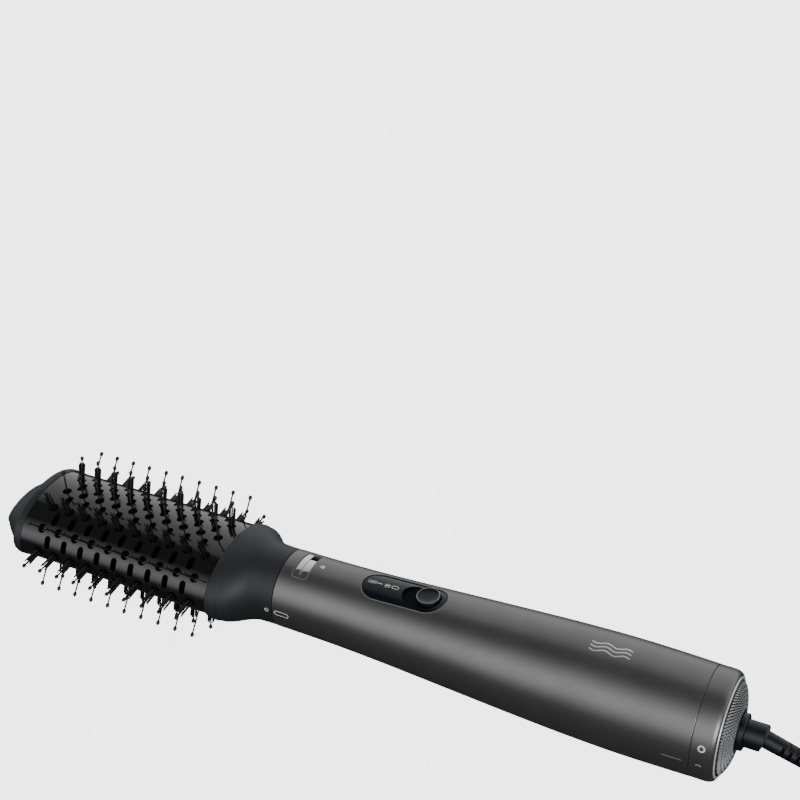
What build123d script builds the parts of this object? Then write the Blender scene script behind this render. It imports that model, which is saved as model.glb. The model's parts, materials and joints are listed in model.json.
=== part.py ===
"""Hot air brush: round tapering handle with fan, heater and twist-off filter cap,
and an oval bristle head that slides off the front.

Every piece is drawn on the handle's axis: X is the axis, the filter cap's rim is
x = 0, the brush tip points to -X, the cord leaves to +X and the flat side of the
oval head faces +Z.  The finished pieces are then laid down together, so that the
brush rests on its pins and on the handle with the origin under its middle.
"""
from build123d import *
import os
from math import atan, cos, degrees, pi, radians, sin, sqrt, tan

# ---- driving dimensions (mm) ------------------------------------------------
REAR_SEAM = -10.2            # filter cap meets the handle
FRONT_SEAM = -211.2          # handle meets the brush head
HANDLE_OUTLINE = [           # x, radius along the handle
    (REAR_SEAM, 24.50), (-40, 25.00), (-90, 23.50),
    (-140, 20.80), (-180, 19.05), (FRONT_SEAM, 18.65),
]
WALL = 2.2                   # plastic casings
GAP = 0.3                    # clear space between pieces that move past each other
MOUTH_RADIUS = 16.40         # inside of the handle at its front end

CAP_ROUND = 3.6              # rounded rear corner of the filter cap
BEZEL_INNER = 20.6
GRILLE_BULGE = 4.7
GRILLE_RINGS = 8
TWIST_LUG = 24.0             # degrees covered by one bayonet lug
LUG_START, TWIST_TRAVEL = 40.0, 21.7

FLANGE_RADIUS, FLANGE_FACE = 8.15, 4.6
SWIVEL_RADIUS, SWIVEL_START, SWIVEL_END = 6.1, 7.3, 15.2
SWIVEL_SHANK = 4.25
RUNNING_FIT = 0.05           # radial play of a turning fit
STRAIN_DROP = 17.0           # degrees that the strain relief points down
STRAIN_ROOT, STRAIN_TIP, STRAIN_LENGTH = 3.95, 3.3, 38.0

SWITCH_X = -139.4            # knob centre, switched off
PLATE_CENTRE_X, PLATE_LENGTH, PLATE_WIDTH = -151.3, 41.0, 16.6
KNOB_RADIUS = 5.5
KNOB_TRAVEL = 6.6
TRACK_WIDTH = 12.2
SURFACE_SLOPE = 3.0          # degrees, handle surface under the switch
CREST_AT_KNOB = 20.83        # handle radius at the knob

SLOT_REAR, SLOT_FRONT, SLOT_ANGLE = -197.6, -205.1, 27.0

BARREL_START, BARREL_END = -241.7, -347.9
BARREL_HALF_WIDTH, BARREL_HALF_HEIGHT = 28.05, 17.13
BARREL_TAPER = 0.017         # how much narrower the oval is at the tip end
BARREL_WALL = 1.0
ROWS = 12
TUFTS = 10
FIRST_TUFT, TUFT_PITCH = -336.95, 9.707
TUFT_HOLE = 2.3              # radius
SLOT_SIZE = (6.5, 3.2)       # vent slot: around the barrel, along it
PIN_HEIGHT, STRAND_HEIGHT = 13.0, 9.3
STRANDS = 5
SPIGOT_OUTER, SPIGOT_INNER, SPIGOT_END = 15.0, 13.4, -228.0
TIP_X = -366.2

CORD_RADIUS = 3.0
COIL_MEAN_RADIUS = 36.0
COIL_COLUMNS, COIL_LAYERS = 4, 2
COIL_PLACE = (132.0, 26.0)                     # from the rear rim, along the table
TIE_THICKNESS = 0.6
PLUG_PIN_RADIUS, PLUG_PIN_LENGTH, PLUG_PIN_SPACING = 2.4, 19.0, 19.0

pieces = {}


# ---- helpers ----------------------------------------------------------------
def add_piece(name, part):
    part.label = name
    pieces[name] = part


def turned(*outline):
    """Body of revolution about the handle axis from (x, radius) corners."""
    with BuildPart() as body:
        with BuildSketch(Plane.XZ):
            with BuildLine():
                Polyline(*outline, close=True)
            make_face()
        revolve(axis=Axis.X)
    return body.part


def tube(x_rear, x_front, outer, inner):
    return turned((x_rear, inner), (x_rear, outer), (x_front, outer), (x_front, inner))


def cross_plane(x):
    """Plane square to the axis, its local x to +Y and its local y to +Z."""
    return Plane(origin=(x, 0, 0), x_dir=(0, 1, 0), z_dir=(1, 0, 0))


def handle_radius(x):
    """Handle radius between two stations of its outline."""
    stations = zip(HANDLE_OUTLINE, HANDLE_OUTLINE[1:])
    for (x0, r0), (x1, r1) in stations:
        if x1 <= x <= x0:
            return r0 + (r1 - r0) * (x - x0) / (x1 - x0)
    return HANDLE_OUTLINE[-1][1]


def arc_block(x_rear, x_front, outer, inner, start, end):
    """Part of a tube between two angles, measured from +Z towards -Y."""
    with BuildPart() as block:
        with BuildSketch(Plane(origin=(0, 0, 0), x_dir=(1, 0, 0), z_dir=(0, -1, 0))):
            with Locations(((x_rear + x_front) / 2, (outer + inner) / 2)):
                Rectangle(x_rear - x_front, outer - inner)
        revolve(axis=Axis.X, revolution_arc=end - start)
    return Rot(X=start) * block.part


# ---- handle -----------------------------------------------------------------
def make_handle_shell():
    slot = arc_block(SLOT_REAR, SLOT_FRONT, 22, 14, -SLOT_ANGLE, SLOT_ANGLE)
    with BuildPart() as shell:
        with BuildSketch(Plane.XZ):
            with BuildLine():
                outer = Spline(*HANDLE_OUTLINE)
                inner = Spline(*[(x, r - WALL) for x, r in HANDLE_OUTLINE])
                Line(outer @ 0, inner @ 0)
                Line(outer @ 1, inner @ 1)
            make_face()
        revolve(axis=Axis.X)
        # window of the switch plate
        with BuildSketch(Plane.XY.offset(10)):
            with Locations((PLATE_CENTRE_X, 0)):
                SlotOverall(PLATE_LENGTH + 0.4, PLATE_WIDTH + 0.4)
        extrude(amount=20, mode=Mode.SUBTRACT)
        add(slot, mode=Mode.SUBTRACT)
        # index line for the filter cap, on the side
        with BuildSketch(Plane.XZ.offset(24.6)):
            with Locations((-17.3, 0)):
                SlotOverall(8.8, 0.7)
        extrude(amount=3, mode=Mode.SUBTRACT)
    add_piece("handle_shell", shell.part)


def make_rear_frame():
    """Fixed spider behind the filter: ring with bayonet lip, spokes and cord hub."""
    with BuildPart() as frame:
        add(tube(-15.4, -22, 22.25, 17.2))
        add(tube(-11.0, -15.4, 18.8, 17.2))
        add(tube(-11.0, -12.4, 19.9, 18.8))
        add(tube(4.6, -16, 7.0, SWIVEL_SHANK + RUNNING_FIT))
        for turn in range(3):
            entry = 120 * turn + LUG_START + TWIST_TRAVEL - 2
            add(arc_block(-10, -12.6, 20.6, 18.8, entry, entry + TWIST_LUG + 4), mode=Mode.SUBTRACT)
        with BuildSketch(cross_plane(-16)):
            with PolarLocations(12.1, 4, start_angle=45):
                Rectangle(11.2, 2.4)
        extrude(amount=4)
    add_piece("rear_frame", frame.part)
    add_piece("gland_flange", turned(
        (FLANGE_FACE, 4.4), (FLANGE_FACE, FLANGE_RADIUS - 0.4), (FLANGE_FACE + 0.4, FLANGE_RADIUS),
        (SWIVEL_START - 0.5, FLANGE_RADIUS), (SWIVEL_START - 0.1, FLANGE_RADIUS - 0.4),
        (SWIVEL_START - 0.1, 4.4)))


def make_filter_cap():
    rear_lug = 20.3
    with BuildPart() as cap:
        with BuildSketch(Plane.XZ):
            with BuildLine():
                Polyline((REAR_SEAM + GAP, 21.9), (REAR_SEAM + GAP, 24.48), (-CAP_ROUND, 24.2))
                TangentArc((-CAP_ROUND, 24.2), (-0.2, 21.7), tangent=(1, -0.03))
                Polyline((-0.2, 21.7), (-0.2, BEZEL_INNER), (-2.6, BEZEL_INNER),
                         (-2.6, rear_lug), (-15.0, rear_lug), (-15.0, 21.9),
                         (REAR_SEAM + GAP, 21.9))
            make_face()
        revolve(axis=Axis.X)
        # bayonet lugs, in the open space behind the frame's lip
        for turn in range(3):
            start = 120 * turn + LUG_START
            add(arc_block(-12.9, -14.8, 20.6, 19.1, start, start + TWIST_LUG))
    add_piece("filter_cap", cap.part)
    add_piece("bezel_ring", turned(
        (-0.2, BEZEL_INNER), (-0.2, 21.7), (0.35, 21.5), (0.7, 21.0), (0.5, BEZEL_INNER)))


def make_grille():
    """Domed intake grille: rings and curved ribs inside a rim, open at the cord."""
    sphere_radius = (20.5 ** 2 + GRILLE_BULGE ** 2) / (2 * GRILLE_BULGE)
    with BuildPart() as grille:
        with BuildSketch(Plane.XZ):
            with BuildLine():
                Polyline((-2.4, 20.5), (0.2, 20.5))
                RadiusArc((0.2, 20.5), (GRILLE_BULGE - 0.6, 8.9), -sphere_radius)
                Polyline((GRILLE_BULGE - 0.6, 8.9), (GRILLE_BULGE - 1.9, 8.9))
                RadiusArc((GRILLE_BULGE - 1.9, 8.9), (-1.1, 20.2), sphere_radius)
                Polyline((-1.1, 20.2), (-2.4, 20.2), (-2.4, 20.5))
            make_face()
        revolve(axis=Axis.X)
        ring_pitch = (19.6 - 9.7) / GRILLE_RINGS
        for ring in range(GRILLE_RINGS):
            middle = 9.7 + ring_pitch * (ring + 0.5)
            with BuildSketch(cross_plane(-4)):
                Circle(middle + ring_pitch * 0.3)
                Circle(middle - ring_pitch * 0.3, mode=Mode.SUBTRACT)
                with PolarLocations(middle, 9, start_angle=13 * ring):
                    Rectangle(ring_pitch, 1.3, mode=Mode.SUBTRACT)
            extrude(amount=9, mode=Mode.SUBTRACT)
    add_piece("intake_grille", grille.part)
    add_piece("grille_inner_ring", tube(GRILLE_BULGE - 0.3, GRILLE_BULGE - 2.2, 8.9, 7.9))
    with BuildPart() as mesh:
        with BuildSketch(cross_plane(-3.4)):
            Circle(20.2)
            Circle(7.6, mode=Mode.SUBTRACT)
        extrude(amount=0.6)
    add_piece("filter_mesh", mesh.part)


def make_swivel():
    exit_axis = Plane(origin=(SWIVEL_END, 0, 0), x_dir=(0, 1, 0),
                      z_dir=(cos(radians(STRAIN_DROP)), 0, -sin(radians(STRAIN_DROP))))
    with BuildPart() as swivel:
        with BuildSketch(Plane.XZ):
            with BuildLine():
                Polyline((SWIVEL_START, 0), (SWIVEL_START, SWIVEL_RADIUS), (SWIVEL_END + 0.4, SWIVEL_RADIUS),
                         (SWIVEL_END + 1.9, SWIVEL_RADIUS - 1.6), (SWIVEL_END + 1.9, 0), close=True)
            make_face()
        revolve(axis=Axis.X)
        split(bisect_by=exit_axis, keep=Keep.BOTTOM)
        with BuildSketch(cross_plane(-20)):
            Circle(SWIVEL_SHANK)
        extrude(amount=20 + SWIVEL_START)
        # groove of the retaining clip and the bore for the wires
        add(tube(-16.3, -17.3, 5, 3.5), mode=Mode.SUBTRACT)
        with BuildSketch(cross_plane(-20)):
            Circle(2.4)
        extrude(amount=30, mode=Mode.SUBTRACT)
    add_piece("swivel_body", swivel.part)
    with BuildPart() as clip:
        with BuildSketch(cross_plane(-17.2)):
            Circle(6.2)
            Circle(3.55, mode=Mode.SUBTRACT)
            with Locations((0, -5)):
                Rectangle(3.4, 6, mode=Mode.SUBTRACT)
        extrude(amount=0.8)
    add_piece("swivel_clip", clip.part)
    with BuildPart() as relief:
        with BuildSketch(exit_axis):
            Circle(STRAIN_ROOT)
        with BuildSketch(exit_axis.offset(STRAIN_LENGTH)):
            Circle(STRAIN_TIP)
        loft()
        rib_pitch = 3.4
        for rib in range(8):
            for turn in (0, 90):
                depth = STRAIN_TIP + 0.15 - 1.2
                middle = exit_axis.offset(7.5 + rib_pitch * (rib + turn / 180))
                with BuildSketch(middle):
                    with PolarLocations(depth + 2, 2, start_angle=turn):
                        Rectangle(4, 6.4)
                extrude(amount=1.4, mode=Mode.SUBTRACT)
    add_piece("strain_relief", relief.part)
    return exit_axis.offset(STRAIN_LENGTH)


# ---- fan and motor ----------------------------------------------------------
def make_fan():
    motor_rear, motor_front = -36.0, -66.0
    with BuildPart() as can:
        add(turned((motor_rear, 2.2), (motor_rear, 12.2), (motor_rear - 1.5, 13.8),
                   (motor_front + 1.5, 13.8), (motor_front, 12.2), (motor_front, 2.2)))
        with BuildSketch(cross_plane(motor_front)):
            with PolarLocations(8.6, 6):
                Circle(1.6)
        extrude(amount=2.0, mode=Mode.SUBTRACT)
    add_piece("motor_can", can.part)
    with BuildPart() as shaft:
        with BuildSketch(cross_plane(motor_front - 2)):
            Circle(2.15)
        extrude(amount=2 - motor_front - 23.5)
    add_piece("motor_shaft", shaft.part)
    with BuildPart() as impeller:
        add(turned((-24.2, 2.15), (-24.2, 4), (-26.5, 7.5), (-30, 9), (-34.6, 9.6),
                   (-34.6, 2.15)))
        with BuildSketch(cross_plane(-34.2)):
            with PolarLocations(14.0, 9):
                Rectangle(11.6, 1.1, rotation=0)
        extrude(amount=8.2)
    add_piece("impeller", impeller.part)
    with BuildPart() as duct:
        add(tube(-22.3, -66, 21.2, 20.2))
        add(tube(-40, -62, 15.2, 14.4))
        with BuildSketch(cross_plane(-62)):
            with PolarLocations(17.7, 9, start_angle=10):
                Rectangle(5.8, 1.2)
        extrude(amount=22)
    add_piece("fan_duct", duct.part)
    for place, front in (("rear", -45), ("front", -60)):
        add_piece("motor_mount_" + place, tube(front + 5, front, 14.38, 13.82))


# ---- switch -----------------------------------------------------------------
def knob_plane(height=0.0):
    """Plane on the sloping handle surface under the knob, local x to the tip."""
    slope = radians(SURFACE_SLOPE)
    normal = Vector(-sin(slope), 0, cos(slope))
    origin = Vector(SWITCH_X, 0, CREST_AT_KNOB) + normal * height
    return Plane(origin=origin, x_dir=(-cos(slope), 0, -sin(slope)), z_dir=normal)


def make_switch():
    recess_floor = -1.7
    with BuildPart() as plate:
        with BuildSketch(Plane.XZ):
            with BuildLine():
                Polyline(*[(x, handle_radius(x) - 0.35) for x in (-128, -140, -151, -162, -175)],
                         *[(x, handle_radius(x) - 2.6) for x in (-175, -128)], close=True)
            make_face()
        revolve(axis=Axis.X)
        with BuildSketch(Plane.XY.offset(10)):
            with Locations((PLATE_CENTRE_X, 0)):
                SlotOverall(PLATE_LENGTH, PLATE_WIDTH)
        extrude(amount=20, mode=Mode.INTERSECT)
        with BuildSketch(knob_plane(recess_floor)):
            with Locations((KNOB_TRAVEL / 2, 0)):
                SlotCenterToCenter(KNOB_TRAVEL, TRACK_WIDTH)
        extrude(amount=5, mode=Mode.SUBTRACT)
        with BuildSketch(knob_plane(-6)):
            with Locations((KNOB_TRAVEL / 2, 0)):
                SlotCenterToCenter(KNOB_TRAVEL + 0.4, 3.6)
        extrude(amount=8, mode=Mode.SUBTRACT)
    add_piece("switch_plate", plate.part)
    with BuildPart() as knob:
        with BuildSketch(knob_plane(recess_floor + GAP)):
            Circle(KNOB_RADIUS)
        extrude(amount=2.6)
        chamfer(knob.faces().sort_by(SortBy.DISTANCE).last.edges(), 0.35)
        with BuildSketch(knob_plane(recess_floor + GAP + 2.1)):
            Circle(KNOB_RADIUS - 1.1)
        extrude(amount=1, mode=Mode.SUBTRACT)
        with BuildSketch(knob_plane(-5.6)):
            Rectangle(2.6, 2.6)
        extrude(amount=4.5)
    add_piece("switch_knob", knob.part)
    with BuildPart() as body:
        with BuildSketch(knob_plane(-8.0)):
            with Locations((KNOB_TRAVEL / 2, 0)):
                Rectangle(17, 8)
        extrude(amount=4.4)
        with BuildSketch(knob_plane(-6.0)):
            with Locations((KNOB_TRAVEL / 2, 0)):
                Rectangle(KNOB_TRAVEL + 3.6, 3.4)
        extrude(amount=3, mode=Mode.SUBTRACT)
    add_piece("slide_switch", body.part)
    with BuildPart() as board:
        with BuildSketch(knob_plane(-9.4)):
            with Locations((8, 0)):
                Rectangle(46, 15)
        extrude(amount=1.4)
        with BuildSketch(knob_plane(-8.0)):
            with Locations((18, -4), (24, 4)):
                Rectangle(5, 4)
        extrude(amount=2.4)
    add_piece("circuit_board", board.part)


# ---- heater -----------------------------------------------------------------
def make_heater():
    rear, front = -84.0, -196.0
    sleeve_radius = 9.4
    add_piece("mica_sleeve", tube(rear, front, sleeve_radius, sleeve_radius - 0.5))
    with BuildPart() as cross:
        with BuildSketch(cross_plane(front + 3)):
            Rectangle(13.6, 0.8)
            Rectangle(0.8, 13.6)
        extrude(amount=rear - front - 6)
    add_piece("mica_cross", cross.part)
    coil_pitch, coil_turns = 6.5, 14
    with BuildPart() as coil:
        for turn in range(coil_turns):
            x = front + 10 + coil_pitch * turn
            add(Location((x, 0, 0), (0, 90, 0)) * Torus(7.7, 0.7, mode=Mode.PRIVATE))
    add_piece("heating_coils", coil.part)
    with BuildPart() as thermostat:
        with BuildSketch(cross_plane(front + 1.2)):
            with Locations((0, 4.2)):
                Rectangle(8, 4.4)
        extrude(amount=1.6)
        with BuildSketch(cross_plane(front - 0.6)):
            with Locations((0, 4.2)):
                Circle(1.8)
        extrude(amount=1.8)
    add_piece("thermostat", thermostat.part)
    with BuildPart() as fuse:
        with BuildSketch(cross_plane(rear - 3)):
            with Locations((0, -4)):
                Circle(1.7)
        extrude(amount=9)
    add_piece("thermal_fuse", fuse.part)
    # baffle that carries the mica tube inside the handle
    for place, x, radius in (("rear", -88, 21.15), ("front", -190, 16.35)):
        with BuildPart() as carrier:
            add(tube(x, x - 1.6, radius, radius - 1.6))
            add(tube(x, x - 1.6, sleeve_radius + 1.6, sleeve_radius + 0.05))
            with BuildSketch(cross_plane(x - 1.6)):
                reach = radius - 1.2 - (sleeve_radius + 1)
                with PolarLocations(sleeve_radius + 1 + reach / 2, 4, start_angle=45):
                    Rectangle(reach, 2)
            extrude(amount=1.6)
        add_piece("heater_carrier_" + place, carrier.part)


# ---- front end and release catch --------------------------------------------
def make_outlet():
    with BuildPart() as spigot:
        add(tube(-192.4, SPIGOT_END, SPIGOT_OUTER, SPIGOT_INNER))
        add(tube(-192.4, -195.4, 16.5, SPIGOT_OUTER))
    add_piece("outlet_spigot", spigot.part)
    with BuildPart() as grille:
        add(tube(-222, -224, SPIGOT_INNER, SPIGOT_INNER - 1.4))
        with BuildSketch(cross_plane(-224)):
            for turn in range(3):
                Rectangle(2 * SPIGOT_INNER - 1.6, 1.0, rotation=60 * turn)
            Circle(4.6)
            Circle(3.6, mode=Mode.SUBTRACT)
        extrude(amount=2)
    add_piece("outlet_grille", grille.part)


def make_catch():
    outer = 18.45
    carriage = SPIGOT_OUTER + GAP, MOUTH_RADIUS - GAP
    step = (SLOT_REAR + SLOT_FRONT) / 2 - 0.4
    add_piece("catch_trim", arc_block(step - 0.2, SLOT_FRONT + 0.1, outer, 16.6, -SLOT_ANGLE + 0.4,
                                      SLOT_ANGLE - 0.4))
    end = SLOT_ANGLE - 1.0
    with BuildPart() as catch:
        add(arc_block(SLOT_REAR - GAP, step + 0.1, outer, 15.9, end - 36.0, end))
        add(arc_block(SLOT_REAR - GAP, -205.6, carriage[1], carriage[0], end - 30.0, end))
        add(arc_block(-205.6, -207.2, carriage[1], carriage[0], end - 10.0, end))
    add_piece("release_catch", catch.part)
    # flat wave spring, drawn at its pressed length, clear of the catch's travel
    with BuildPart() as spring:
        base = Plane(origin=(0, 0, 0), x_dir=(1, 0, 0), z_dir=(0, sin(radians(39)), cos(radians(39))))
        with BuildSketch(base.offset(15.4)):
            with Locations((-200.5, 0)):
                for wave in range(5):
                    with Locations((0, 1.1 * (wave - 2))):
                        Rectangle(5.6, 0.4, rotation=11 if wave % 2 else -11)
        extrude(amount=0.6)
    add_piece("catch_spring", spring.part)


# ---- brush head -------------------------------------------------------------
def barrel_oval(x, inset=0.0):
    """Oval of the tapering barrel, drawn smaller by inset."""
    shrink = 1 - BARREL_TAPER * (BARREL_START - x) / (BARREL_START - BARREL_END)
    return (BARREL_HALF_WIDTH * shrink - inset, BARREL_HALF_HEIGHT * shrink - inset)


def oval_tube(x_rear, x_front, outer_inset, inner_inset):
    with BuildPart() as body:
        for x in (x_rear, x_front):
            with BuildSketch(cross_plane(x)):
                Ellipse(*barrel_oval(x, outer_inset))
        loft(ruled=True)
        for x in (x_rear, x_front):
            with BuildSketch(cross_plane(x)):
                Ellipse(*barrel_oval(x, inner_inset))
        loft(ruled=True, mode=Mode.SUBTRACT)
    return body.part


def oval_parameter(share):
    """Ellipse angle from the flat top at a share of the way round the barrel."""
    steps = 2000
    lengths = [0.0]
    for step in range(steps):
        angle = 2 * pi * (step + 0.5) / steps
        rate = sqrt((BARREL_HALF_WIDTH * cos(angle)) ** 2 + (BARREL_HALF_HEIGHT * sin(angle)) ** 2)
        lengths.append(lengths[-1] + rate)
    wanted = (share % 1.0) * lengths[-1]
    nearest = min(range(steps + 1), key=lambda i: abs(lengths[i] - wanted))
    return 2 * pi * nearest / steps


def surface_plane(x, share):
    """Plane on the barrel, local x towards the handle, its normal pointing outwards."""
    angle = oval_parameter(share)
    width, height = barrel_oval(x)
    point = Vector(x, -width * sin(angle), height * cos(angle))
    outward = Vector(0, -sin(angle) / width, cos(angle) / height)
    return Plane(origin=point, x_dir=(1, 0, 0), z_dir=outward.normalized())


def make_barrel():
    cutters = []
    for row in range(ROWS):
        for tuft in range(TUFTS):
            plane = surface_plane(FIRST_TUFT + TUFT_PITCH * tuft, row / ROWS)
            cutters.append(plane.offset(-3).location * Cylinder(
                TUFT_HOLE, 5, align=(Align.CENTER, Align.CENTER, Align.MIN)))
        for vent in range(TUFTS - 1):
            x = FIRST_TUFT + TUFT_PITCH * (vent + 0.5)
            plane = surface_plane(x, (row + 0.5) / ROWS)
            slot = extrude(SlotOverall(*SLOT_SIZE, rotation=90), amount=5)
            cutters.append(plane.offset(-3).location * slot)
    with BuildPart() as barrel:
        add(oval_tube(BARREL_START + 3, BARREL_END, 0, BARREL_WALL))
        add(cutters, mode=Mode.SUBTRACT)
    add_piece("barrel_shell", barrel.part)


def flat_strip(tufts, strands):
    """One bristle strip drawn flat: rail, bosses, ball-tipped pins and, if any, strands."""
    length = TUFT_PITCH * (TUFTS - 1)
    with BuildPart() as strip:
        with BuildSketch(Plane.XY.offset(-2.9)):
            with Locations((length / 2, 0)):
                SlotOverall(length + 8, 4.6)
        extrude(amount=1.4)
        with BuildSketch(Plane.XY.offset(-1.6)):
            with Locations(*tufts):
                Circle(1.9)
        extrude(amount=1.0)
        with BuildSketch(Plane.XY.offset(-0.7)):
            with Locations(*tufts):
                Circle(0.38)
        extrude(amount=PIN_HEIGHT - 0.2)
        if strands:
            with BuildSketch(Plane.XY.offset(-0.7)):
                with Locations(*tufts):
                    with PolarLocations(1.3, strands, start_angle=18):
                        Circle(0.34)
            extrude(amount=STRAND_HEIGHT + 0.7)
        with Locations(*[(x, y, PIN_HEIGHT - 0.75) for x, y in tufts]):
            Sphere(0.75)
    return strip.part


def make_strips():
    """Strips laid into the rows of the barrel: pins alone and tufts take turns."""
    tufts = [(TUFT_PITCH * tuft, 0) for tuft in range(TUFTS)]
    length = TUFT_PITCH * (TUFTS - 1)
    plain, tufted = flat_strip(tufts, 0), flat_strip(tufts, STRANDS)
    for row in range(ROWS):
        tip_end = surface_plane(FIRST_TUFT, row / ROWS)
        handle_end = surface_plane(FIRST_TUFT + length, row / ROWS)
        along = (handle_end.origin - tip_end.origin).normalized()
        upright = tip_end.z_dir - along * along.dot(tip_end.z_dir)
        seat = Plane(origin=tip_end.origin, x_dir=along, z_dir=upright)
        add_piece(f"bristle_strip_{row + 1:02d}", seat.location * (tufted if row % 2 else plain))


def make_head_core():
    """Air tube inside the barrel: the strips lie on it and air leaves by its windows."""
    windows = []
    for row in range(ROWS):
        for bay in range(4):
            x = -256.0 - 25.5 * bay
            plane = surface_plane(x, (row + 0.5) / ROWS)
            windows.append(plane.offset(-7).location * Box(
                18, 3.6, 5, align=(Align.CENTER, Align.CENTER, Align.MIN)))
    with BuildPart() as core:
        add(oval_tube(-243.0, -344.0, 3.3, 4.5))
        add(windows, mode=Mode.SUBTRACT)
    add_piece("head_core", core.part)


def lofted(sections):
    with BuildPart() as body:
        for x, half_width, half_height in sections:
            with BuildSketch(cross_plane(x)):
                Ellipse(half_width, half_height)
        loft()
    return body.part


def make_collar():
    flare = [(-211.5, 18.6, 18.59), (-219.0, 18.7, 18.6), (-225.0, 20.6, 18.8), (-230.0, 25.6, 19.0),
             (-234.0, 28.6, 19.0), (-238.0, 29.4, 18.8), (-241.7, 29.3, 18.4)]
    bore = [(x, wide - 2.0, high - 2.0) for x, wide, high in flare[:-1]]
    with BuildPart() as collar:
        add(lofted(flare))
        add(lofted(bore), mode=Mode.SUBTRACT)
        with BuildSketch(cross_plane(BARREL_START)):
            Ellipse(BARREL_HALF_WIDTH + 0.05, BARREL_HALF_HEIGHT + 0.05)
        extrude(amount=3.05, mode=Mode.SUBTRACT)
    add_piece("head_collar", collar.part)
    notch = arc_block(-205, -207.8, 17, 14, -4, SLOT_ANGLE + 3)
    with BuildPart() as sleeve:
        add(tube(-211.6, -232, 16.4, SPIGOT_OUTER + GAP))
        add(tube(-205.9, -211.6, MOUTH_RADIUS - GAP, SPIGOT_OUTER + GAP))
        add(notch, mode=Mode.SUBTRACT)
        # flange that holds the air tube
        with BuildSketch(cross_plane(-232)):
            Ellipse(23.2, 16.2)
            Circle(14.6, mode=Mode.SUBTRACT)
        extrude(amount=-1.6)
    add_piece("head_sleeve", sleeve.part)


def make_end_cap():
    wide, high = barrel_oval(BARREL_END)
    with BuildPart() as cap:
        for x, inset in ((BARREL_END, -0.6), (BARREL_END - 3.2, -0.6), (BARREL_END - 4.8, 0.5)):
            with BuildSketch(cross_plane(x)):
                Ellipse(wide - inset, high - inset)
        loft(ruled=True)
        add(lofted([(BARREL_END - 3.4, wide - 1.8, high - 1.4), (-358.0, 21.0, 10.8),
                    (-363.4, 16.2, 6.6), (TIP_X, 13.0, 4.4)]))
        with BuildSketch(cross_plane(BARREL_END)):
            Ellipse(wide - 1.1, high - 1.1)
        extrude(amount=3.4)
        add(lofted([(BARREL_END + 3.4, wide - 3.4, high - 3.4), (-353.0, wide - 4.5, high - 4.2),
                    (-361.0, 15.0, 5.0)]), mode=Mode.SUBTRACT)
    add_piece("end_cap", cap.part)


# ---- cord and plug, on the table --------------------------------------------
def corner_radii(points):
    """Largest tangent arc at each inner point of a route."""
    radii = []
    for before, here, after in zip(points, points[1:], points[2:]):
        arriving, leaving = Vector(*here) - Vector(*before), Vector(*after) - Vector(*here)
        half_turn = radians(arriving.get_angle(leaving)) / 2
        radii.append(0.45 * min(arriving.length, leaving.length) / tan(half_turn))
    return radii


def cord_run(name, points):
    """Straight runs joined by tangent arcs."""
    radii = corner_radii(points)
    with BuildPart() as run:
        with BuildLine() as route:
            FilletPolyline(*points, radius=radii)
        with BuildSketch(Plane(origin=route.wire() @ 0, z_dir=route.wire() % 0)):
            Circle(CORD_RADIUS)
        sweep()
    expected = pi * CORD_RADIUS ** 2 * route.wire().length
    print(name, "length", round(route.wire().length, 1), "radii", [round(r) for r in radii],
          "volume share", round(run.part.volume / expected, 4))
    add_piece(name, run.part)


def make_cord(relief_end, rim_x):
    """Cord to the coil, the coil with its tie, the tail and the plug."""
    centre = Vector(rim_x + COIL_PLACE[0], COIL_PLACE[1])
    outer_turn = COIL_MEAN_RADIUS + (COIL_COLUMNS - 1) * CORD_RADIUS
    near_side, far_side = centre.Y - outer_turn, centre.Y + outer_turn
    low = CORD_RADIUS + TIE_THICKNESS + 0.1
    # the swivel turns past the cord with a small gap
    start, down = relief_end.offset(0.3).origin, relief_end.z_dir
    landing = start + down * ((start.Z - low) / -down.Z)
    cord_run("cord_lead", [
        tuple(start), tuple(landing), (centre.X - 26.0, near_side, low), (centre.X, near_side, low)])
    bottom = TIE_THICKNESS + 0.1
    width, height = 2 * CORD_RADIUS * COIL_COLUMNS, 2 * CORD_RADIUS * COIL_LAYERS
    with BuildPart() as coil:
        with BuildSketch(Plane.XZ.offset(-centre.Y)):
            with Locations((centre.X + COIL_MEAN_RADIUS, bottom + height / 2)):
                RectangleRounded(width, height, CORD_RADIUS - 0.2)
        revolve(axis=Axis((centre.X, centre.Y, 0), (0, 0, 1)))
    add_piece("cord_coil", coil.part)
    with BuildPart() as tie:
        with BuildSketch(Plane.XZ.offset(-centre.Y)):
            with Locations((centre.X + COIL_MEAN_RADIUS, bottom + height / 2)):
                RectangleRounded(width + 2.0, height + 1.4, CORD_RADIUS)
                RectangleRounded(width + 0.8, height + 0.2, CORD_RADIUS - 0.1, mode=Mode.SUBTRACT)
        extrude(amount=3.5, both=True)
    add_piece("cord_tie", tie.part)
    plug_height, plug_y, neck_x = 7.8, far_side - 3.0, centre.X - 48.0
    top_layer = bottom + height - CORD_RADIUS
    cord_run("cord_tail", [
        (centre.X, far_side, top_layer), (centre.X - 17, far_side, top_layer - 0.4),
        (centre.X - 34, plug_y, plug_height), (neck_x, plug_y, plug_height)])
    make_plug(neck_x, plug_y, plug_height)


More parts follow.
